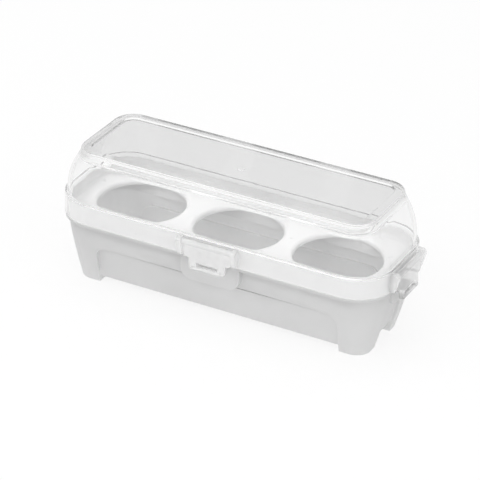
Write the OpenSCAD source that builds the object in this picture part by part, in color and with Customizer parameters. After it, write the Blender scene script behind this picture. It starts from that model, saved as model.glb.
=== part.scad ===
// Egg keeper: a low frosted tub on four feet, a white drop-in tray with a row of egg holes, and a
// clear lid that flips back on a rear hinge. A front latch and an end latch hang from the lid's rim
// and reach down over pads on the tub.
// Millimetres, +Z up. The origin is the middle of the whole object's box, at the feet.

/* [Plan] */
// Length over the lid's rim
rim_length = 180; // [176:1:210]
// Depth over the lid's rim
rim_depth = 64; // [62:1:80]
// Corner radius of the lid's rim, seen from above
rim_radius = 20; // [18:0.5:22]

/* [Egg holes] */
// Number of egg holes in the row
hole_count = 3; // [2:1:3]
// Distance between the centres of two holes
hole_pitch = 55; // [51:0.5:57]
// Width of a hole at its narrowest
hole_diameter = 45; // [38:0.5:46]
// Radius of the rolled edge round a hole
hole_roll = 1.8; // [1.6:0.1:2.2]
// Straight drop of a hole's lip below its rolled edge
hole_lip = 0.8; // [0.6:0.1:2]

/* [Tub] */
// Height of the ledge that carries the tray
ledge_height = 36.2; // [34:0.1:44]
// Thickness of that ledge
ledge_thickness = 1.6; // [1.2:0.1:2.4]
// How far the ledge's edge stands inside the lid's rim
ledge_inset = 0.4; // [0.2:0.1:1]
// Thickness of the tub's wall
tub_wall = 1.5; // [1.2:0.1:1.8]
// How far the tub's wall stands inside the lid's rim, just under the ledge
shoulder = 3.8; // [3.2:0.1:4.6]
// How much further out the tub's end walls stand than its long walls
end_stretch = 2; // [1:0.1:2.2]
// How far the end walls lean in from the ledge to the feet
end_lean = 7.7; // [6:0.1:9]
// How far the long walls lean in from the ledge to the feet
side_lean = 7; // [5:0.1:8]
// How much the walls' lean gathers towards the feet: 1 makes the walls straight
wall_curve = 1.3; // [1:0.1:1.6]
// Corner radius of the tub at its feet, seen from above
foot_radius = 8; // [6:0.5:9]
// Height of the floor's underside, which is also the gap under the end walls
floor_height = 5.4; // [4:0.1:6]
// Height of the gap under the long walls
side_gap = 3; // [1:0.1:3.8]
// Thickness of the floor
floor_thickness = 1.6; // [1.2:0.1:2.4]
// Depth of the sunk panel in each wall
recess_depth = 1.5; // [0.8:0.1:2]
// Height of the sunk panels' top edge
recess_height = 22.2; // [16:0.1:24]
// Radius of the sunk panels' upper corners
recess_radius = 6; // [3:0.5:8]
// How far a long wall's sunk panel stops short of the round corner
recess_margin = 5.5; // [3:0.1:9]
// How far an end wall's sunk panel stops short of the round corner
end_recess_margin = 4.2; // [2:0.1:5]

/* [Tray] */
// Thickness of the tray's deck
deck_thickness = 1.2; // [1:0.1:1.5]
// Thickness of the tray's upright rim and of its skirt
tray_wall = 1.3; // [1:0.1:1.6]
// Height of the deck's underside above the tub's ledge
deck_rise = 2.4; // [1:0.1:3]
// Height of the upright rim above the deck
tray_rim_height = 6.4; // [4:0.1:6.4]
// How far the upright rim leans in from the ledge to its top
tray_rim_lean = 0.5; // [0.4:0.1:1]
// Fillet between the deck and the upright rim
deck_fillet = 2; // [1:0.1:3]
// Depth of the tray's skirt inside the tub
tray_skirt_depth = 6.4; // [4:0.1:8]
// Clearance between the tray's skirt and the tub's wall
tray_gap = 0.3; // [0.2:0.05:0.5]

/* [Lid] */
// Thickness of the lid's walls
lid_wall = 1.2; // [1:0.1:1.5]
// Height of the lid's outer rim band
band_height = 11.4; // [11:0.1:13]
// Clearance under the rim band
seat_gap = 0.2; // [0.1:0.05:0.3]
// Clearance between the rim band and the tray's upright rim
band_gap = 0.5; // [0.5:0.05:0.8]
// How far the dome's foot stands inside the rim band
dome_step = 1.6; // [1.4:0.1:2.4]
// Height of the dome from the rim band to the raised top
dome_height = 21.3; // [18:0.1:28]
// How far the dome's end walls lean in
dome_lean_x = 6.9; // [4:0.1:9]
// How far the dome's long walls lean in
dome_lean_y = 2.8; // [2:0.1:5]
// Width of the small step at the foot of the raised top
top_step = 0.5; // [0.3:0.1:1]
// Height of the raised top above the dome
top_height = 4.3; // [3:0.1:6]
// How far the raised top's side leans in
top_lean = 0.8; // [0.4:0.1:1.5]
// Corner radius of the raised top, seen from above
top_radius = 12; // [10:0.5:16]
// Width of the bead round the raised top
bead_width = 5; // [3:0.5:8]
// Height of that bead above the panel inside it
bead_height = 0.9; // [0.4:0.1:1.5]
// Diameter of the moulding pip in the middle of the panel
pip_diameter = 4; // [2:0.5:6]
// Height of that pip
pip_height = 0.4; // [0.2:0.1:0.8]

/* [Latches] */
// Width of a latch at its hinge
latch_width = 26.8; // [24:0.1:30]
// Width of the pull tab below it
tab_width = 20; // [16:0.5:22]
// Thickness of a latch's plate
latch_thickness = 1.5; // [1.2:0.1:2]
// Drop from the latch's pivot to the end of its wide part
shoulder_drop = 8.5; // [7:0.1:9]
// Drop from the latch's pivot to the end of the pull tab
tab_drop = 14.4; // [14:0.1:17]
// Depth of the latch's pivot below the top of the rim band
pivot_depth = 2.8; // [2.6:0.1:3.2]
// Width of the window in the pull tab
window_width = 11.6; // [8:0.1:13]
// Height of that window
window_height = 2; // [1.6:0.1:2.6]
// Height of the bar below the window
bar_height = 1.6; // [1.2:0.1:2.4]
// Radius of the finger lip along the tab's lower edge
lip_radius = 0.9; // [0.8:0.05:1.1]
// Clearance between a latch and the lid's rim band
latch_gap = 0.4; // [0.3:0.05:0.6]
// Radius of a latch's barrel
latch_barrel = 1.6; // [1.4:0.05:1.8]
// Radius of the pins at the barrel's ends
latch_pin = 0.9; // [0.8:0.05:1]
// Thickness of the lid's cheeks beside a latch
cheek_thickness = 2.6; // [2:0.1:3.2]
// Clearance between a latch's wide part and each cheek
cheek_gap = 0.3; // [0.2:0.05:0.5]
// Half width of the pad behind the front latch
front_pad = 16.2; // [12:0.1:20]
// Half width of the pad behind the end latch
end_pad = 11.4; // [11:0.1:12]
// Height of the front pad's lower edge
front_pad_height = 22.4; // [16:0.1:26]
// Height of the end pad's lower edge
end_pad_height = 26; // [22:0.1:27]
// Radius of the pads' lower corners
pad_radius = 6; // [3:0.5:8]
// How far the pads' faces stand inside the lid's rim
pad_inset = 1.2; // [1:0.1:1.6]
// Clearance between the catch rib on a pad and the latch
rib_gap = 0.3; // [0.2:0.05:0.5]
// Angle at which the end latch hangs ajar
ajar_angle = 6; // [0:1:25]

/* [Hinge] */
// Distance between the two hinges
hinge_spacing = 90; // [60:1:110]
// Radius of the hinge barrels
hinge_barrel = 3; // [2.6:0.1:3.4]
// Radius of the hinge pins
hinge_pin = 1.5; // [1.2:0.05:1.8]
// Width of the lid's knuckle
knuckle_width = 10; // [8:0.5:14]
// Width of each of the tub's ears beside it
ear_width = 5; // [4:0.5:7]
// Clearance between a knuckle and each ear
knuckle_gap = 0.3; // [0.2:0.05:0.5]
// Clearance between the hinge barrels and the lid's rim band
hinge_gap = 0.6; // [0.5:0.05:1]
// Height of the hinge's axis above the tub's ledge
hinge_rise = 0.55; // [0.2:0.05:0.6]

/* [Fits] */
// Running clearance round each pin
pin_clearance = 0.05; // [0.03:0.01:0.08]

/* [Hidden] */
$fn = 96;

// How far a cut or a joining web runs on past the face that it meets
pass = 1;
// Steps round a quarter circle, up the dome and up the tub's wall
corner_steps = 9;
dome_steps = 9;
wall_steps = 6;

// Half distances between the centres of the four plan corners: the rim's, which the lid and the
// tray share, and the tub's wall's, which stand further out along X
hx = rim_length / 2 - rim_radius;
hy = rim_depth / 2 - rim_radius;
wx = hx + end_stretch;

// Heights
deck_height = ledge_height + deck_rise + deck_thickness;
tray_top = deck_height + tray_rim_height;
band_bottom = ledge_height + seat_gap;
band_top = band_bottom + band_height;
dome_top = band_top + dome_height;
lid_top = dome_top + top_height;
floor_top = floor_height + floor_thickness;
wall_top = ledge_height - ledge_thickness;

// Radii round the plan's corner centres
wall_radius = rim_radius - shoulder;
band_inner = rim_radius - lid_wall;
tray_rim_radius = band_inner - band_gap;
dome_radius = rim_radius - dome_step;

// The tub's half length and half depth under its ledge and at its feet, the half widths of its sunk
// panels, and the share of the walls' lean that is left at a height
wall_x = wx + wall_radius;
wall_y = hy + wall_radius;
foot_x = wall_x - end_lean;
foot_y = wall_y - side_lean;
side_panel = foot_x - foot_radius - recess_margin;
end_panel = foot_y - foot_radius - end_recess_margin;
function lean_left(z) = pow(max(0, 1 - z / wall_top), wall_curve);

// Rear hinge
hinge_y = rim_depth / 2 + hinge_gap + hinge_barrel;
hinge_z = ledge_height + hinge_rise;

// Latches: the pivot's distance outside the rim and its height, and the inner face of the plate
pivot_out = latch_gap + latch_barrel;
pivot_z = band_top - pivot_depth;
plate_in = latch_gap + 0.1;
rib_height = pivot_z - tab_drop + bar_height + window_height / 2;
rib_reach = pad_inset + plate_in - rib_gap;
cheek_radius = latch_pin + 1.3;

// How far a latch's lip, or else its cheeks, reach outside the rim when it hangs at an angle
function latch_reach(angle) = pivot_out + max(cheek_radius, lip_radius
    + (tab_drop - lip_radius) * sin(angle) + (latch_thickness - pivot_out + plate_in) * cos(angle));

// Place of the whole model, so that its box is centred on the origin
shift_x = -latch_reach(ajar_angle) / 2;
shift_y = (latch_reach(0) - hinge_gap - 2 * hinge_barrel) / 2;

module placed() {
    translate([shift_x, shift_y, 0]) children();
}

// Sweeps a flat outline round the rounded rectangle: its x is the distance out from the corner
// centres, its y is the height
module around(half_x, half_y) {
    for (side = [0, 1]) {
        mirror([side, 0, 0])
            translate([half_x, half_y, 0]) rotate([90, 0, 0]) linear_extrude(2 * half_y) children();
        mirror([0, side, 0]) rotate([0, 0, 90])
            translate([half_y, half_x, 0]) rotate([90, 0, 0]) linear_extrude(2 * half_x) children();
        for (end = [0, 1])
            mirror([side, 0, 0]) mirror([0, end, 0])
                translate([half_x, half_y, 0]) rotate_extrude(angle = 90) children();
    }
}

// Points of a rounded rectangle at a height: half length, half depth, corner radius
function ring(a, b, r, z) = [for (q = [0:3]) for (s = [0:corner_steps])
    let (turn = q * 90 + s * 90 / corner_steps, left = q == 1 || q == 2, front = q > 1)
    [(left ? r - a : a - r) + r * cos(turn), (front ? r - b : b - r) + r * sin(turn), z]];

// A closed skin through a stack of rings
module loft(rings) {
    n = len(rings[0]);
    top = (len(rings) - 1) * n;
    sides = [for (i = [0:len(rings) - 2]) for (j = [0:n - 1])
        let (k = (j + 1) % n, low = i * n, high = low + n)
        each [[low + j, high + j, high + k], [low + j, high + k, low + k]]];
    polyhedron([for (r = rings) each r],
        concat(sides, [[for (j = [0:n - 1]) j]], [[for (j = [n - 1:-1:0]) top + j]]));
}

// A ring of the tub's wall, sunk inwards by inset: its corners tighten towards the feet
function wall_ring(z, inset) = ring(
    wall_x - end_lean * lean_left(z) - inset, wall_y - side_lean * lean_left(z) - inset,
    wall_radius - (wall_radius - foot_radius) * lean_left(z) - inset, z);

// The tub's wall as a solid, sunk inwards by inset: it leans from the low height to the wall's top
// and then stands upright to the high one
module wall_solid(low, high, inset) {
    loft(concat(
        [for (i = [0:wall_steps]) wall_ring(low + (wall_top - low) * i / wall_steps, inset)],
        [wall_ring(high, inset)]));
}

// Turns what faces the front to face the right-hand end
module at_end() {
    rotate([0, 0, 90]) children();
}

// An upright panel's outline with rounded upper corners
module panel_outline(half_w, top, radius) {
    translate([-half_w, -2 * pass]) square([2 * half_w, top - radius + 2 * pass]);
    translate([radius - half_w, 0]) square([2 * (half_w - radius), top]);
    for (side = [-1, 1]) translate([side * (half_w - radius), top - radius]) circle(radius);
}

// A slab over a leaning front wall whose foot is at distance wall_out from the centre. Its inner
// face lies the given depth inside the wall's outer face
module wall_slab(wall_out, lean, half_w, top, radius, depth) {
    angle = atan(lean / wall_top);
    translate([0, -wall_out, 0]) rotate([angle, 0, 0])
        translate([0, depth, 0]) rotate([90, 0, 0])
            linear_extrude(depth + 3 * shoulder) panel_outline(half_w, top / cos(angle), radius);
}

// The four sunk panels, as cuts: grow widens them for the inside of the wall
module sunk_panels(depth, grow) {
    top = recess_height + grow;
    round_r = recess_radius + grow;
    for (turn = [0, 180]) rotate([0, 0, turn]) {
        wall_slab(foot_y, side_lean, side_panel + grow, top, round_r, depth);
        at_end() wall_slab(foot_x, end_lean, end_panel + grow, top, round_r, depth);
    }
}

// A latch pad's outline, seen from the front, with rounded lower corners
module pad_outline(half_w, low, radius) {
    intersection() {
        translate([-half_w, low]) square([2 * half_w, wall_top - low]);
        union() {
            translate([-half_w, low + radius]) square([2 * half_w, wall_top - low]);
            translate([radius - half_w, low]) square([2 * (half_w - radius), wall_top - low]);
            for (side = [-1, 1]) translate([side * (half_w - radius), low + radius]) circle(radius);
        }
    }
}

// A latch pad on the front wall, or with inset the hollow behind its face. It starts at distance
// back from the centre
module pad(rim_out, back, half_w, low, inset) {
    face = rim_out - pad_inset - inset;
    translate([0, -back, 0]) rotate([90, 0, 0])
        linear_extrude(face - back) pad_outline(half_w - inset, low + inset, pad_radius - inset);
}

// The catch rib on a pad's face
module catch_rib(rim_out) {
    half_h = window_height / 2 - 0.2;
    translate([-window_width / 2 + 0.4, -rim_out + pad_inset, rib_height]) rotate([90, 0, 90])
        linear_extrude(window_width - 0.8)
            polygon([[pass / 2, -half_h - 0.5], [0, -half_h - 0.5], [-rib_reach, -half_h + 0.3],
                [-rib_reach, half_h - 0.5], [0, half_h], [pass / 2, half_h]]);
}

// The tub's inside, cut out of it
module tub_hollow() {
    difference() {
        wall_solid(floor_top, ledge_height + pass, tub_wall);
        sunk_panels(recess_depth + tub_wall, tub_wall);
    }
    pad(rim_depth / 2, foot_y, front_pad, front_pad_height, tub_wall);
    at_end() pad(rim_length / 2, foot_x, end_pad, end_pad_height, tub_wall);
}

// The gaps under the tub, between its four feet
module under_gaps() {
    inner_y = foot_y - recess_depth - tub_wall;
    translate([-side_panel, -foot_y, -pass]) cube([2 * side_panel, 2 * foot_y, side_gap + pass]);
    translate([-side_panel, -inner_y, -pass]) cube([2 * side_panel, 2 * inner_y, floor_height + pass]);
    translate([-wall_x, -end_panel, -pass]) cube([2 * wall_x, 2 * end_panel, floor_height + pass]);
}

// One of the tub's hinge ears, from its face towards +X
module hinge_ear() {
    wall_y = hy + wall_radius - tub_wall / 2;
    low_z = hinge_z - 3 * hinge_barrel;
    slant = hinge_barrel * sin(45);
    difference() {
        rotate([90, 0, 90]) linear_extrude(ear_width) {
            translate([hinge_y, hinge_z]) circle(hinge_barrel);
            polygon([[wall_y - pass, low_z], [hinge_y + slant, hinge_z - slant], [hinge_y, hinge_z],
                [hinge_y - hinge_barrel, ledge_height], [wall_y, ledge_height]]);
        }
        translate([-pass, hinge_y, hinge_z]) rotate([0, 90, 0])
            cylinder(r = hinge_pin + pin_clearance, h = ear_width + 2 * pass);
    }
}

module base_tub() {
    ear_start = knuckle_width / 2 + knuckle_gap;
    ledge_radius = rim_radius - ledge_inset;
    color([0.82, 0.83, 0.84, 0.8]) placed() {
        difference() {
            union() {
                difference() {
                    wall_solid(0, ledge_height - ledge_thickness / 2, 0);
                    sunk_panels(recess_depth, 0);
                    under_gaps();
                }
                around(hx, hy) translate([0, wall_top]) square([ledge_radius, ledge_thickness]);
                translate([-hx, -hy, wall_top]) cube([2 * hx, 2 * hy, ledge_thickness]);
                pad(rim_depth / 2, foot_y, front_pad, front_pad_height, 0);
                at_end() pad(rim_length / 2, foot_x, end_pad, end_pad_height, 0);
            }
            tub_hollow();
        }
        catch_rib(rim_depth / 2);
        at_end() catch_rib(rim_length / 2);
        for (station = [-1, 1], side = [0, 1])
            translate([station * hinge_spacing / 2, 0, 0]) mirror([side, 0, 0])
                translate([ear_start, 0, 0]) hinge_ear();
    }
}

// The rolled edge of one egg hole
module rolled_edge() {
    hole_r = hole_diameter / 2;
    rotate_extrude() {
        intersection() {
            translate([hole_r + hole_roll, deck_height - hole_roll]) difference() {
                circle(hole_roll);
                circle(hole_roll - deck_thickness);
            }
            translate([hole_r, deck_height - hole_roll]) square(hole_roll);
        }
        translate([hole_r, deck_height - hole_roll - hole_lip]) square([deck_thickness, hole_lip]);
    }
}

// The tray's skirt, which locates it inside the tub's wall, up to a height within the deck
module tray_skirt(top) {
    low = ledge_height - tray_skirt_depth;
    out = wall_radius - tub_wall - tray_gap;
    low_out = out - max(end_lean, side_lean) * lean_left(low);
    around(wx, hy) polygon([[low_out - tray_wall, low], [low_out, low], [out, wall_top],
        [out, top], [out - tray_wall, top], [out - tray_wall, wall_top]]);
}

module egg_tray() {
    under = deck_height - deck_thickness;
    foot_in = tray_rim_radius - tray_wall;
    top_out = tray_rim_radius - tray_rim_lean;
    top_in = top_out - tray_wall;
    fillet_r = foot_in - deck_fillet;
    color([0.96, 0.96, 0.96]) placed() {
        difference() {
            union() {
                around(hx, hy) polygon(concat(
                    [[0, under], [foot_in, under], [foot_in, ledge_height],
                        [tray_rim_radius, ledge_height], [top_out, tray_top], [top_in, tray_top]],
                    [for (a = [0:15:90]) [fillet_r + deck_fillet * cos(a),
                        deck_height + deck_fillet * (1 - sin(a))]],
                    [[0, deck_height]]));
                translate([-hx, -hy, under]) cube([2 * hx, 2 * hy, deck_thickness]);
                tray_skirt(under + deck_thickness / 2);
            }
            for (k = [0:hole_count - 1])
                translate([(k - (hole_count - 1) / 2) * hole_pitch, 0, under - pass])
                    cylinder(r = hole_diameter / 2 + hole_roll, h = deck_thickness + 2 * pass);
        }
        for (k = [0:hole_count - 1])
            translate([(k - (hole_count - 1) / 2) * hole_pitch, 0, 0]) rolled_edge();
    }
}

// A ring of the dome's curved wall, t running from 0 at its foot to 1 at its top, sunk inwards by inset
function dome_ring(t, inset) = ring(
    hx + dome_radius - dome_lean_x * t * t - inset, hy + dome_radius - dome_lean_y * t * t - inset,
    dome_radius + (top_radius + top_step - dome_radius) * t - inset, band_top + dome_height * t);

// A ring of the raised top, a distance inwards from its foot
function top_ring(inset, z) = ring(
    hx + dome_radius - dome_lean_x - top_step - inset, hy + dome_radius - dome_lean_y - top_step - inset,
    top_radius - inset, z);

module dome() {
    round_r = 0.8;
    bead_in = top_lean + round_r + bead_width;
    difference() {
        loft(concat(
            [for (i = [0:dome_steps]) dome_ring(i / dome_steps, 0)],
            [top_ring(0, dome_top), top_ring(top_lean, lid_top - round_r)],
            [for (a = [30, 60, 90]) top_ring(top_lean + round_r * (1 - cos(a)), lid_top - round_r * (1 - sin(a)))],
            [top_ring(bead_in - bead_height, lid_top), top_ring(bead_in, lid_top - bead_height)]));
        loft(concat(
            [dome_ring(-pass / dome_height, lid_wall)],
            [for (i = [1:dome_steps]) dome_ring(i / dome_steps, lid_wall)],
            [top_ring(top_lean + lid_wall, lid_top - bead_height - lid_wall)]));
    }
    translate([0, 0, lid_top - bead_height - pip_height])
        cylinder(r = pip_diameter / 2, h = 2 * pip_height);
}

// The rim band, with the flange that carries the dome
module rim_band() {
    edge = 0.8;
    around(hx, hy) polygon([[band_inner, band_bottom], [rim_radius, band_bottom],
        [rim_radius, band_top - edge], [rim_radius - edge, band_top],
        [dome_radius - lid_wall - edge / 4, band_top],
        [dome_radius - lid_wall - edge / 4, band_top - lid_wall], [band_inner, band_top - lid_wall]]);
}

// A cheek beside the front latch, drawn round the latch's pivot, from its face towards +X
module cheek() {
    root = pivot_out + lid_wall - 0.2;
    foot = pivot_z - band_bottom - 1;
    difference() {
        rotate([90, 0, 90]) linear_extrude(cheek_thickness) {
            circle(cheek_radius);
            polygon([[root, cheek_radius], [0, cheek_radius], [-cheek_radius, 0],
                [pivot_out - cheek_radius, -foot], [root, -foot]]);
        }
        translate([-pass, 0, 0]) rotate([0, 90, 0])
            cylinder(r = latch_pin + pin_clearance, h = cheek_thickness + 2 * pass);
    }
}

// The pair of cheeks for a latch on a rim at this distance from the centre
module cheek_pair(rim_out) {
    start = latch_width / 2 + cheek_gap;
    for (side = [0, 1])
        mirror([side, 0, 0]) translate([start, -rim_out - pivot_out, pivot_z]) cheek();
}

// One of the lid's hinge knuckles, with its two pins
module knuckle() {
    root = rim_depth / 2 - lid_wall + 0.2;
    pin_reach = knuckle_width + 2 * (knuckle_gap + ear_width);
    translate([-knuckle_width / 2, 0, 0]) rotate([90, 0, 90]) linear_extrude(knuckle_width) {
        translate([hinge_y, hinge_z]) circle(hinge_barrel);
        polygon([[root, hinge_z], [hinge_y, hinge_z], [hinge_y + hinge_barrel, hinge_z],
            [rim_depth / 2, hinge_z + 2.5 * hinge_barrel], [root, hinge_z + 2.5 * hinge_barrel]]);
    }
    translate([-pin_reach / 2, hinge_y, hinge_z]) rotate([0, 90, 0])
        cylinder(r = hinge_pin, h = pin_reach);
}

module lid() {
    color([0.9, 0.93, 0.95, 0.35]) placed() {
        rim_band();
        dome();
        cheek_pair(rim_depth / 2);
        at_end() cheek_pair(rim_length / 2);
        for (station = [-1, 1]) translate([station * hinge_spacing / 2, 0, 0]) knuckle();
    }
}

// A latch, drawn round its pivot: it hangs down and faces the front
module latch() {
    half_w = latch_width / 2;
    half_tab = tab_width / 2;
    corner = 2;
    inner = pivot_out - plate_in;
    window_low = bar_height - tab_drop;
    pin_reach = latch_width + 2 * (cheek_gap + cheek_thickness);
    rotate([0, 90, 0]) translate([0, 0, -half_w]) cylinder(r = latch_barrel, h = latch_width);
    rotate([0, 90, 0]) translate([0, 0, -pin_reach / 2]) cylinder(r = latch_pin, h = pin_reach);
    translate([0, inner, 0]) rotate([90, 0, 0]) linear_extrude(latch_thickness) difference() {
        union() {
            translate([-half_w, corner - shoulder_drop]) square([latch_width, shoulder_drop - corner]);
            translate([corner - half_w, -shoulder_drop]) square([latch_width - 2 * corner, shoulder_drop]);
            translate([-half_tab, corner - tab_drop]) square([tab_width, tab_drop - corner]);
            translate([corner - half_tab, -tab_drop]) square([tab_width - 2 * corner, tab_drop]);
            for (side = [-1, 1]) {
                translate([side * (half_w - corner), corner - shoulder_drop]) circle(corner);
                translate([side * (half_tab - corner), corner - tab_drop]) circle(corner);
            }
        }
        translate([-window_width / 2, window_low]) square([window_width, window_height]);
    }
    translate([corner - half_tab, inner - latch_thickness, lip_radius - tab_drop]) rotate([0, 90, 0])
        cylinder(r = lip_radius, h = tab_width - 2 * corner);
}

module front_latch() {
    color([0.9, 0.93, 0.95, 0.35]) placed()
        translate([0, -rim_depth / 2 - pivot_out, pivot_z]) latch();
}

module end_latch() {
    color([0.9, 0.93, 0.95, 0.35]) placed() at_end()
        translate([0, -rim_length / 2 - pivot_out, pivot_z]) rotate([-ajar_angle, 0, 0]) latch();
}

base_tub();
egg_tray();
lid();
front_latch();
end_latch();
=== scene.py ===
"""Egg keeper with a flip lid: frosted tub, white drop-in tray, clear domed lid, two milky latches."""

from math import copysign, cos, radians, sin

import bmesh
import bpy
from mathutils import Matrix, Vector


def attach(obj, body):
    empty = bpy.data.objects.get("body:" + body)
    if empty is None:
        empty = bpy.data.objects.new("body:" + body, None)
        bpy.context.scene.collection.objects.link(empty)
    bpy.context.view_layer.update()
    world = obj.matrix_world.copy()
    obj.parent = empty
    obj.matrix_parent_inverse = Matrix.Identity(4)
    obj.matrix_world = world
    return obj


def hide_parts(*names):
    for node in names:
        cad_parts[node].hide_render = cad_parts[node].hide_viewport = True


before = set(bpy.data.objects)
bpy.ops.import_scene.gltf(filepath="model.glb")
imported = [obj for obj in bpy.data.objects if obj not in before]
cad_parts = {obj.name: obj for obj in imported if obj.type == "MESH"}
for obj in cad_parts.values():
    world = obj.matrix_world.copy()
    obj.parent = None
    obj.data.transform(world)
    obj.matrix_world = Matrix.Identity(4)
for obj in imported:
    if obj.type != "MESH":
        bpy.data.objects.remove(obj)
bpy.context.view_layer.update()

scene = bpy.context.scene
MM = 0.001
# Half the overhang of the latches and the hinge, by which the rim's middle stands off the box's middle
OFF_CENTRE = Vector((-2.1556, -1.2, 0))

# Camera

# The photograph's view: round the object, above the horizon, and turned about its own axis
AZIMUTH = radians(26.707)
ELEVATION = radians(28.805)
ROLL = radians(2.023)
DISTANCE = 1271.9 * MM
LOOKED_AT = Vector((2.138, -8.369, 37.4)) * MM
# The lens's focal length in pixels of the photograph, which is 480 wide
FOCAL_PIXELS, PHOTO_PIXELS = 2582.3, 480
SENSOR_WIDTH = 36


def photo_camera():
    back = Vector((sin(AZIMUTH) * cos(ELEVATION), -cos(AZIMUTH) * cos(ELEVATION), sin(ELEVATION)))
    level = (-back).cross(Vector((0, 0, 1))).normalized()
    upright = level.cross(-back)
    right = level * cos(ROLL) + upright * sin(ROLL)
    up = upright * cos(ROLL) - level * sin(ROLL)
    camera = bpy.data.objects.new("photo_camera", bpy.data.cameras.new("photo_camera"))
    scene.collection.objects.link(camera)
    camera.data.sensor_width = SENSOR_WIDTH
    camera.data.lens = FOCAL_PIXELS * SENSOR_WIDTH / PHOTO_PIXELS
    camera.data.clip_start, camera.data.clip_end = 0.1, 20
    turn = Matrix((right, up, back)).transposed().to_4x4()
    camera.matrix_world = Matrix.Translation(LOOKED_AT + back * DISTANCE) @ turn
    scene.camera = camera


# Materials

def linear(hex_colour):
    """An sRGB hex colour as Blender's linear one."""
    parts = [int(hex_colour[i:i + 2], 16) / 255 for i in (0, 2, 4)]
    return tuple(p / 12.92 if p <= 0.04045 else ((p + 0.055) / 1.055) ** 2.4 for p in parts) + (1.0,)


def add(tree, kind, settings=None, **links):
    """Adds a node: settings are its own properties or its sockets' values, links its sockets' sources.

    Settings name a socket or give its number. Links have _ in place of a space, and _0 for number 0.
    """
    node = tree.nodes.new(kind)
    for name, value in (settings or {}).items():
        if isinstance(name, int) or name in node.inputs:
            node.inputs[name].default_value = value
        else:
            setattr(node, name, value)
    for name, source in links.items():
        key = int(name[1:]) if name[0] == "_" and name[1:].isdigit() else name.replace("_", " ")
        tree.links.new(source, node.inputs[key])
    return node


def new_material(name):
    """An empty material and its node tree."""
    material = bpy.data.materials.new(name)
    material.use_nodes = True
    material.node_tree.nodes.clear()
    return material, material.node_tree


def slant_shade(tree, stops):
    """Painted shade: a colour that follows the slant at which a wall is looked through, greyer at a slant.
    """
    slant = add(tree, "ShaderNodeLayerWeight", {"Blend": 0.5})
    shade_ramp = add(tree, "ShaderNodeValToRGB", _0=slant.outputs["Facing"])
    ramp = shade_ramp.color_ramp.elements
    ramp[0].position, ramp[0].color = stops[0][0], linear(stops[0][1])
    ramp[1].position, ramp[1].color = stops[-1][0], linear(stops[-1][1])
    for place, colour in stops[1:-1]:
        ramp.new(place).color = linear(colour)
    return shade_ramp.outputs[0]


def clear_to_lamps(tree, body):
    """Lets nearly all of the lamps' light through a wall, which then casts hardly a shadow."""
    path = add(tree, "ShaderNodeLightPath")
    lamps = add(tree, "ShaderNodeBsdfTransparent", {"Color": linear("FDFDFD")})
    mix = add(tree, "ShaderNodeMixShader", Fac=path.outputs["Is Shadow Ray"],
              _1=body.outputs[0], _2=lamps.outputs[0])
    return mix.outputs[0]


# The heights between which the walls' painted slant shade turns into the raised top's darker one
TOP_SHADE_LOW, TOP_SHADE_HIGH = 69 * MM, 71.5 * MM


def clear_polystyrene():
    """Crystal polystyrene out of a polished tool: as clear as glass face on, greyed at a slant by painted
    shade.

    The raised top gets the darkest painted shade. The walls carry the long, shallow ripples
    that clear mouldings show where the melt ran.
    """
    material, tree = new_material("polished_crystal_polystyrene")
    place = add(tree, "ShaderNodeTexCoord").outputs["Object"]
    height = add(tree, "ShaderNodeSeparateXYZ", Vector=place)
    raised = add(tree, "ShaderNodeMapRange", {"From Min": TOP_SHADE_LOW, "From Max": TOP_SHADE_HIGH},
                 _0=height.outputs["Z"])
    # Painted shade: grey where a wall is seen at a slant, darker on the raised top
    walls = slant_shade(tree, [(0.25, "FCFCFC"), (0.6, "F9F9F9"), (0.95, "DCDCDC")])
    top = slant_shade(tree, [(0.18, "FDFDFD"), (0.3, "E8E8E8"), (0.6, "D8D8D8"), (0.95, "BCBCBC")])
    slant_shade_colour = add(tree, "ShaderNodeMix", {"data_type": "RGBA"}, _0=raised.outputs[0], _6=walls, _7=top)
    # Ripples about 9 mm apart, too shallow to see but by what they bend
    ripple = add(tree, "ShaderNodeTexNoise", {"Scale": 1 / (9 * MM), "Detail": 1.0}, Vector=place)
    bent = add(tree, "ShaderNodeBump", {"Strength": 0.06, "Distance": 0.4 * MM}, Height=ripple.outputs[0])
    clear = add(
        tree, "ShaderNodeBsdfPrincipled", {"Roughness": 0.03, "IOR": 1.35, "Transmission Weight": 1.0},
        Base_Color=slant_shade_colour.outputs[2], Normal=bent.outputs[0])
    # Painted light: a ray caught inside the wall after more than two reflections is let straight through,
    # which lightens its edges
    path = add(tree, "ShaderNodeLightPath")
    caught = add(tree, "ShaderNodeMath", {"operation": "GREATER_THAN", 1: 2.5},
                 _0=path.outputs["Glossy Depth"])
    painted_edge_light = add(tree, "ShaderNodeBsdfTransparent", {"Color": linear("F0F0F0")})
    body = add(tree, "ShaderNodeMixShader", Fac=caught.outputs[0], _1=clear.outputs[0], _2=painted_edge_light.outputs[0])
    add(tree, "ShaderNodeOutputMaterial", Surface=clear_to_lamps(tree, body))
    return material


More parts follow.
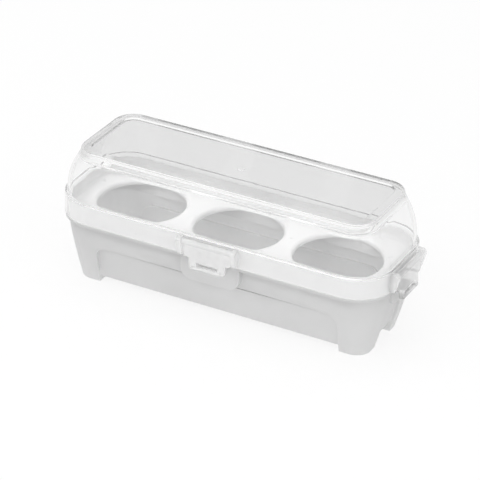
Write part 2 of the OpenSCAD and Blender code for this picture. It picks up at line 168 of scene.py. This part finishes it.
def milky_polypropylene():
    """Natural polypropylene with a polished skin: about half clear and half milk, with a soft gloss."""
    material, tree = new_material("milky_natural_polypropylene")
    place = add(tree, "ShaderNodeTexCoord").outputs["Object"]
    # The clear part is greyed at a slant by painted shade
    clear = add(tree, "ShaderNodeBsdfTransparent", _0=slant_shade(tree, [(0.3, "FEFEFE"), (0.95, "E4E4E4")]))
    cloud = add(tree, "ShaderNodeBsdfTranslucent", {"Color": linear("FCFCFC")})
    face = add(tree, "ShaderNodeBsdfDiffuse", {"Color": linear("FCFCFC")})
    milk = add(tree, "ShaderNodeMixShader", {"Fac": 0.6}, _1=cloud.outputs[0], _2=face.outputs[0])
    # The milkiness drifts over about 4 mm, as the melt cooled
    drift = add(tree, "ShaderNodeTexNoise", {"Scale": 1 / (4 * MM), "Detail": 2.0}, Vector=place)
    share = add(tree, "ShaderNodeMapRange",
                {"From Min": 0.3, "From Max": 0.7, "To Min": 0.54, "To Max": 0.6}, _0=drift.outputs[0])
    body = add(tree, "ShaderNodeMixShader", Fac=share.outputs[0], _1=clear.outputs[0], _2=milk.outputs[0])
    gloss = add(tree, "ShaderNodeBsdfGlossy", {"Color": linear("FFFFFF"), "Roughness": 0.08})
    mirror = add(tree, "ShaderNodeFresnel", {"IOR": 1.4})
    shiny = add(tree, "ShaderNodeMixShader", Fac=mirror.outputs[0], _1=body.outputs[0], _2=gloss.outputs[0])
    add(tree, "ShaderNodeOutputMaterial", Surface=clear_to_lamps(tree, shiny))
    return material


def frosted_polypropylene():
    """Natural polypropylene from a blasted tool: bright where light comes through, and grey elsewhere."""
    material, tree = new_material("frosted_natural_polypropylene")
    place = add(tree, "ShaderNodeTexCoord").outputs["Object"]
    # Cloudiness that drifts over about 22 mm
    cloud = add(tree, "ShaderNodeTexNoise", {"Scale": 1 / (22 * MM), "Detail": 3.0}, Vector=place)
    tone = add(tree, "ShaderNodeMix", {"data_type": "RGBA", 6: linear("EBEBEB"), 7: linear("F4F4F4")},
               _0=cloud.outputs[0])
    # Painted highlight on the edges, whitened: there a normal that is evened out over 1.1 mm turns away
    shape = add(tree, "ShaderNodeNewGeometry")
    evened_normal = add(tree, "ShaderNodeBevel", {"samples": 6, "Radius": 1.1 * MM})
    turned = add(tree, "ShaderNodeVectorMath", {"operation": "DOT_PRODUCT"},
                 _0=evened_normal.outputs[0], _1=shape.outputs["Normal"])
    painted_edge_light = add(tree, "ShaderNodeMapRange", {"From Min": 0.995, "From Max": 0.92}, _0=turned.outputs["Value"])
    colour = add(tree, "ShaderNodeMix", {"data_type": "RGBA", 7: linear("FFFFFF")},
                 _0=painted_edge_light.outputs[0], _6=tone.outputs[2])
    # The blasted grain is about 0.1 mm; it is drawn at 0.7 mm, so that it shows
    grain = add(tree, "ShaderNodeTexNoise", {"Scale": 1 / (0.7 * MM), "Detail": 2.0}, Vector=place)
    pitted = add(tree, "ShaderNodeBump", {"Strength": 0.25, "Distance": 0.05 * MM}, Height=grain.outputs[0])
    rough = add(tree, "ShaderNodeMapRange", {"To Min": 0.36, "To Max": 0.5}, _0=grain.outputs[0])
    skin = add(tree, "ShaderNodeBsdfPrincipled", {"IOR": 1.49, "Transmission Weight": 0.35},
               Base_Color=colour.outputs[2], Roughness=rough.outputs[0], Normal=pitted.outputs[0])
    glow = add(tree, "ShaderNodeBsdfTranslucent", Color=colour.outputs[2], Normal=pitted.outputs[0])
    # The painted highlight also lets more light through at the edges
    through = add(tree, "ShaderNodeMapRange", {"To Min": 0.4, "To Max": 0.62}, _0=painted_edge_light.outputs[0])
    mix = add(tree, "ShaderNodeMixShader", Fac=through.outputs[0], _1=skin.outputs[0], _2=glow.outputs[0])
    add(tree, "ShaderNodeOutputMaterial", Surface=mix.outputs[0])
    return material


def gloss_white_polypropylene():
    """White polypropylene as moulded: plain white with a satin gloss."""
    material, tree = new_material("gloss_white_polypropylene")
    place = add(tree, "ShaderNodeTexCoord").outputs["Object"]
    # The skin is slightly uneven over about 6 mm, which breaks up its sheen, and finely grained at 0.6 mm
    wave = add(tree, "ShaderNodeTexNoise", {"Scale": 1 / (6 * MM), "Detail": 2.0}, Vector=place)
    grain = add(tree, "ShaderNodeTexNoise", {"Scale": 1 / (0.6 * MM), "Detail": 2.0}, Vector=place)
    uneven = add(tree, "ShaderNodeBump", {"Strength": 0.1, "Distance": 0.2 * MM}, Height=wave.outputs[0])
    grained = add(tree, "ShaderNodeBump", {"Strength": 0.15, "Distance": 0.03 * MM},
                  Height=grain.outputs[0], Normal=uneven.outputs[0])
    rough = add(tree, "ShaderNodeMapRange", {"To Min": 0.24, "To Max": 0.36}, _0=wave.outputs[0])
    tone = add(tree, "ShaderNodeMix", {"data_type": "RGBA", 6: linear("E7E7E7"), 7: linear("EBEBEB")},
               _0=wave.outputs[0])
    skin = add(tree, "ShaderNodeBsdfPrincipled", {"IOR": 1.49},
               Base_Color=tone.outputs[2], Roughness=rough.outputs[0], Normal=grained.outputs[0])
    add(tree, "ShaderNodeOutputMaterial", Surface=skin.outputs[0])
    return material


# Shapes, in millimetres round the rim's middle

CORNER_STEPS = 18


def bevelled(shape, parts, radius, steps, affect="EDGES"):
    return bmesh.ops.bevel(
        shape, geom=parts, offset=radius, offset_type="OFFSET", affect=affect,
        segments=steps, profile=0.5, material=-1, clamp_overlap=False)


def round_edges(shape, radius, steps, sharpest=28):
    """Rounds every edge that turns by more than an angle."""
    bevelled(shape, [e for e in shape.edges if e.calc_face_angle(0) > radians(sharpest)], radius, steps)


def outline(shape, half_x, half_y, radius, height):
    """A flat rounded rectangle round the middle, as one face."""
    corners = bmesh.ops.create_grid(shape, x_segments=1, y_segments=1, size=1)["verts"]
    bmesh.ops.scale(shape, vec=(half_x, half_y, 1), verts=corners)
    bmesh.ops.translate(shape, vec=(0, 0, height), verts=corners)
    return bevelled(shape, corners, radius, CORNER_STEPS, "VERTICES")["verts"][0].link_faces[0]


def moulded_shell(shape, rings):
    """Pulls a rounded rectangle through a row of others: one closed skin between two flat panels."""
    edges = list(outline(shape, *rings[0]).edges)
    for here, there in zip(rings, rings[1:]):
        pulled = bmesh.ops.extrude_edge_only(shape, edges=edges)["geom"]
        edges = [part for part in pulled if isinstance(part, bmesh.types.BMEdge)]
        for corner in (part for part in pulled if isinstance(part, bmesh.types.BMVert)):
            across, along = copysign(1, corner.co.x), copysign(1, corner.co.y)
            spread = there[2] / here[2]
            corner.co.x = across * (there[0] - there[2] + (abs(corner.co.x) - here[0] + here[2]) * spread)
            corner.co.y = along * (there[1] - there[2] + (abs(corner.co.y) - here[1] + here[2]) * spread)
            corner.co.z = there[3]
    bmesh.ops.edgeloop_fill(shape, edges=edges)
    bmesh.ops.recalc_face_normals(shape, faces=shape.faces)


def bar(shape, section, start, length):
    """A bar along X from a section given as (y, z) corners."""
    face = shape.faces.new([shape.verts.new((start, y, z)) for y, z in section])
    pulled = bmesh.ops.extrude_face_region(shape, geom=[face])["geom"]
    bmesh.ops.translate(
        shape, vec=(length, 0, 0), verts=[v for v in pulled if isinstance(v, bmesh.types.BMVert)])
    bmesh.ops.recalc_face_normals(shape, faces=shape.faces)


def rod(shape, radius, centre, length, steps=32):
    """A rod along X."""
    turn = Matrix.Translation(centre) @ Matrix.Rotation(radians(90), 4, "Y")
    bmesh.ops.create_cone(
        shape, cap_ends=True, cap_tris=False, segments=steps, radius1=radius, radius2=radius,
        depth=length, matrix=turn)


def as_object(shape, name, materials, chosen=0):
    """Makes an object of a shape, with its materials, and gives all its faces one of them."""
    mesh = bpy.data.meshes.new(name)
    shape.to_mesh(mesh)
    shape.free()
    for material in materials:
        mesh.materials.append(material)
    for face in mesh.polygons:
        face.material_index = chosen
    piece = bpy.data.objects.new(name, mesh)
    scene.collection.objects.link(piece)
    return piece


def weld_on(piece, others):
    """Welds other closed shapes to a piece, so that clear plastic shows no wall where they meet."""
    for other in others:
        weld = piece.modifiers.new("weld", "BOOLEAN")
        weld.operation = "UNION"
        weld.solver = "EXACT"
        weld.object = other
    scene.view_layers[0].update()
    mesh = bpy.data.meshes.new_from_object(piece.evaluated_get(bpy.context.evaluated_depsgraph_get()))
    piece.modifiers.clear()
    old = piece.data
    piece.data = mesh
    bpy.data.meshes.remove(old)
    for other in others:
        bpy.data.objects.remove(other)


def fit(piece, name, body, sharpest):
    """Smooths a finished piece, and puts it in the place of a CAD node, on its body."""
    for face in piece.data.polygons:
        face.use_smooth = True
    piece.data.set_sharp_from_angle(angle=radians(sharpest))
    piece.modifiers.new("even_normals", "WEIGHTED_NORMAL").keep_sharp = True
    piece.data.transform(Matrix.Translation(OFF_CENTRE * MM) @ Matrix.Scale(MM, 4))
    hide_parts(name)
    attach(piece, body)


# Lid

# Half the length, half the width and the corner radius, of the rim and of the raised top's foot
RIM = (90, 32, 20)
TOP = (81, 27.1, 12)
WALL = 1.2
BAND_LOW, BAND_HIGH = 36.4, 47.8
DOME_HIGH, TOP_HIGH = 69.1, 73.4
# The dome's foot stands back from the rim, and its head stands out round the raised top
SHOULDER, TOP_LEDGE = 1.6, 0.5
DOME_STEPS = 14
# The raised top's side leans in, and a flat bead runs round it above the panel
TOP_LEAN, BEAD_WIDTH, BEAD_RISE = 1.1, 4.6, 0.9
PANEL_HIGH = TOP_HIGH - BEAD_RISE
# Inside the raised top: its ceiling, and how far its side leans in below that
CEILING, CEILING_LEAN = PANEL_HIGH - WALL, 0.8
LID_ROUNDING = 0.5

# The latches' pivots, out from the rim and up, and the cheeks that carry them
PIVOT_OUT, PIVOT_HIGH = 2, 45
CHEEK_RADIUS, CHEEK_CORNER, CHEEK_ROUNDING = 2.2, 2.1, 0.25
CHEEK_START, CHEEK_THICKNESS = 13.7, 2.6
# How far a cheek or a hinge's web reaches into the band, and how far a cheek ends above its lower edge
ROOT = 1
# How near to a place a corner counts as being at it
NEAR = 0.01

# The rear hinge: how far its knuckles are from the middle, and the y and z of its axis
HINGE_AT = 45
HINGE_AXIS = (35.6, 36.75)
KNUCKLE_RADIUS, KNUCKLE_LENGTH, WEB_RISE = 3, 10, 7.5
PIN_RADIUS, PIN_LENGTH = 1.5, 20.6

# The pip in the middle of the panel
PIP_FOOT, PIP_HEAD, PIP_DEPTH, PIP_ROUNDING = 2.2, 1.9, 0.8, 0.12

# Which of the lid's two materials a part of it has
WALLS, BOSSES = 0, 1


def ring(sizes, height, inset=0):
    """A rounded rectangle, set in from its sizes, at a height."""
    return tuple(size - inset for size in sizes) + (height,)


def dome_ring(rise, inset):
    """The dome's outline at a share of its height: upright at its foot, and leaning in more and more."""
    foot, head = ring(RIM, BAND_HIGH, SHOULDER), ring(TOP, DOME_HIGH, -TOP_LEDGE)
    shares = (rise ** 2, rise ** 2, rise, rise)
    *sizes, height = (low + (high - low) * share for low, high, share in zip(foot, head, shares))
    return ring(sizes, height, inset)


def latch_cheek(finishes, turn, rim, side):
    """One of the two bosses that a latch turns between, on the front or on the right-hand end."""
    root, toe = ROOT - RIM[1], -(RIM[1] + CHEEK_RADIUS)
    face = toe - PIVOT_OUT
    crown, foot = PIVOT_HIGH + CHEEK_RADIUS, BAND_LOW + ROOT
    shape = bmesh.new()
    bar(shape, [(root, crown), (face, crown), (face, PIVOT_HIGH), (toe, foot), (root, foot)],
        CHEEK_START, CHEEK_THICKNESS)
    at_corner = [v for v in shape.verts if abs(v.co.y - face) < NEAR and abs(v.co.z - crown) < NEAR]
    outer = [e for e in shape.edges if all(v in at_corner for v in e.verts)]
    bevelled(shape, outer, CHEEK_CORNER, steps=8)
    round_edges(shape, CHEEK_ROUNDING, steps=2)
    place = Matrix.Rotation(radians(turn), 4, "Z") @ Matrix.Translation((0, RIM[1] - rim, 0))
    bmesh.ops.transform(shape, matrix=place @ Matrix.Scale(side, 4, (1, 0, 0)), verts=shape.verts)
    bmesh.ops.recalc_face_normals(shape, faces=shape.faces)
    return as_object(shape, "cheek", finishes, BOSSES)


def hinge_knuckle(finishes, station):
    """A knuckle of the rear hinge, with the web that carries it and the pin through it."""
    out, high = HINGE_AXIS
    root, top = RIM[1] - ROOT, high + WEB_RISE
    knuckle, web, pin = bmesh.new(), bmesh.new(), bmesh.new()
    rod(knuckle, KNUCKLE_RADIUS, (station, out, high), KNUCKLE_LENGTH, steps=48)
    bar(web, [(root, high), (out, high), (out + KNUCKLE_RADIUS, high), (RIM[1], top), (root, top)],
        station - KNUCKLE_LENGTH / 2, KNUCKLE_LENGTH)
    rod(pin, PIN_RADIUS, (station, out, high), PIN_LENGTH)
    parts = {"knuckle": knuckle, "knuckle_web": web, "hinge_pin": pin}
    return [as_object(shape, name, finishes, BOSSES) for name, shape in parts.items()]


def clear_lid(clear, cloudy):
    """The lid. The bosses that carry the latches and the hinge are thick, and so cloudier than its walls."""
    finishes = (clear, cloudy)
    shape = bmesh.new()
    moulded_shell(shape, [
        ring(TOP, PANEL_HIGH, TOP_LEAN + BEAD_WIDTH + BEAD_RISE),
        ring(TOP, TOP_HIGH, TOP_LEAN + BEAD_WIDTH),
        ring(TOP, TOP_HIGH, TOP_LEAN),
        ring(TOP, DOME_HIGH),
        *(dome_ring(step / DOME_STEPS, 0) for step in range(DOME_STEPS, -1, -1)),
        ring(RIM, BAND_HIGH),
        ring(RIM, BAND_LOW),
        ring(RIM, BAND_LOW, WALL),
        ring(RIM, BAND_HIGH - WALL, WALL),
        ring(RIM, BAND_HIGH - WALL, SHOULDER + WALL),
        *(dome_ring(step / DOME_STEPS, WALL) for step in range(DOME_STEPS)),
        ring(TOP, DOME_HIGH, WALL),
        ring(TOP, CEILING, WALL + CEILING_LEAN)])
    round_edges(shape, LID_ROUNDING, steps=4)
    lid = as_object(shape, "clear_lid", finishes, WALLS)

    cheeks = [latch_cheek(finishes, turn, rim, side)
              for turn, rim in ((0, RIM[1]), (90, RIM[0])) for side in (-1, 1)]
    knuckles = [part for station in (-HINGE_AT, HINGE_AT) for part in hinge_knuckle(finishes, station)]
    pip = bmesh.new()
    bmesh.ops.create_cone(
        pip, cap_ends=True, cap_tris=False, segments=40, radius1=PIP_FOOT, radius2=PIP_HEAD,
        depth=PIP_DEPTH, matrix=Matrix.Translation((0, 0, PANEL_HIGH)))
    round_edges(pip, PIP_ROUNDING, steps=2)
    weld_on(lid, [*cheeks, *knuckles, as_object(pip, "pip", finishes, WALLS)])
    fit(lid, "lid", "lid", sharpest=30)


# Tub, tray and latches

# Half the width, the lowest and the highest point of the small catch ribs and of the latches' windows,
# with a little over
RIB = (5.7, 30.5, 35)
WINDOW = (6.2, 31.5, 36)
# A corner past these is on the front or on the right-hand end
FRONT, END = -30, 88


def at_latch(place, half, low, high):
    """True for a corner at the middle of the front or of the right-hand end, between two heights."""
    front = abs(place.x) < half and place.y < FRONT
    end = abs(place.y) < half and place.x > END
    return (front or end) and low < place.z < high


def rounded_copy(node, name, materials, radius, steps, close, spared):
    """A copy of a CAD node with its edges rounded.

    Corners nearer to each other than close are merged, and each flat face is made one. Round the small
    form at spared it stays in pieces, because one face can't have a hole.
    """
    shape = bmesh.new()
    shape.from_mesh(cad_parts[node].data)
    shape.transform(Matrix.Scale(1 / MM, 4) @ Matrix.Translation(-OFF_CENTRE * MM))
    bmesh.ops.remove_doubles(shape, verts=shape.verts, dist=close)
    bmesh.ops.dissolve_degenerate(shape, edges=shape.edges, dist=close)
    edges = [e for e in shape.edges if not any(at_latch(v.co, *spared) for v in e.verts)]
    bmesh.ops.dissolve_limit(shape, angle_limit=radians(1), verts=shape.verts, edges=edges)
    round_edges(shape, radius, steps)
    return as_object(shape, name, materials)


def frosted_tub(material):
    tub = rounded_copy(
        "base_tub", "frosted_tub", (material,), radius=0.3, steps=3, close=0.12, spared=RIB)
    fit(tub, "base_tub", "base", sharpest=35)


def white_tray(material):
    """The tray is the CAD node itself, in a material of the scene's."""
    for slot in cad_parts["egg_tray"].material_slots:
        slot.material = material


def flip_latches(material):
    for name in ("front_latch", "end_latch"):
        latch = rounded_copy(
            name, f"clear_{name}", (material,), radius=0.2, steps=2, close=0.02, spared=WINDOW)
        fit(latch, name, name, sharpest=35)


# Stage, in metres

HALF_FLOOR = 6
LAMPS_AIM = Vector((0, 0, 0.03))


def background_rays(tree):
    """1 for rays that show the background: from the camera, in a reflection, or through plastic."""
    path = add(tree, "ShaderNodeLightPath")
    seen = add(tree, "ShaderNodeMath", {"operation": "MAXIMUM"},
               _0=path.outputs["Is Camera Ray"], _1=path.outputs["Is Glossy Ray"])
    return add(tree, "ShaderNodeMath", {"operation": "MAXIMUM"},
               _0=seen.outputs[0], _1=path.outputs["Is Transmission Ray"]).outputs[0]


def white_floor():
    """Matt white paper that is lit from behind as well: it shows white, with a faint shadow."""
    shape = bmesh.new()
    bmesh.ops.create_grid(shape, x_segments=1, y_segments=1, size=HALF_FLOOR)
    material, tree = new_material("white_studio_paper")
    paper = add(tree, "ShaderNodeBsdfDiffuse", {"Color": linear("FAFAFA")})
    shine = add(tree, "ShaderNodeEmission", {"Color": linear("FFFFFF"), "Strength": 1.0})
    share = add(tree, "ShaderNodeMath", {"operation": "MULTIPLY", 1: 0.8}, _0=background_rays(tree))
    mix = add(tree, "ShaderNodeMixShader", Fac=share.outputs[0], _1=paper.outputs[0], _2=shine.outputs[0])
    add(tree, "ShaderNodeOutputMaterial", Surface=mix.outputs[0])
    as_object(shape, "studio_floor", (material,))


def white_air():
    """The world: plain white where it is seen, and a dimmer, even light on the object."""
    world = bpy.data.worlds.new("studio_air")
    world.use_nodes = True
    tree = world.node_tree
    tree.nodes.clear()
    air = add(tree, "ShaderNodeBackground", {"Color": linear("FFFFFF"), "Strength": 0.72})
    white = add(tree, "ShaderNodeBackground", {"Color": linear("FEFEFE"), "Strength": 1.0})
    mix = add(tree, "ShaderNodeMixShader", Fac=background_rays(tree), _1=air.outputs[0], _2=white.outputs[0])
    add(tree, "ShaderNodeOutputWorld", Surface=mix.outputs[0])
    scene.world = world


def softboxes():
    """Wide boxes for soft reflections in the polished top, all turned to the object's middle."""
    for side, place, size, power in (
            ("front", (0.1, -1.2, 0.75), (1.8, 1.2), 6.4),
            ("right", (1.2, -0.4, 0.55), (1.2, 0.8), 3.4),
            ("left", (-1.2, -0.5, 0.65), (1.2, 0.8), 2.2),
            ("top", (-0.3, 0.1, 1.3), (1.0, 0.8), 2.5)):
        light = bpy.data.lights.new(f"{side}_softbox", "AREA")
        light.shape = "RECTANGLE"
        light.size, light.size_y = size
        light.energy = power
        lamp = bpy.data.objects.new(f"{side}_softbox", light)
        lamp.location = place
        lamp.rotation_euler = (LAMPS_AIM - Vector(place)).to_track_quat("-Z", "Y").to_euler()
        scene.collection.objects.link(lamp)


photo_camera()
milky = milky_polypropylene()
clear_lid(clear_polystyrene(), milky)
frosted_tub(frosted_polypropylene())
white_tray(gloss_white_polypropylene())
flip_latches(milky)
white_floor()
white_air()
softboxes()

scene.view_settings.view_transform = "Standard"
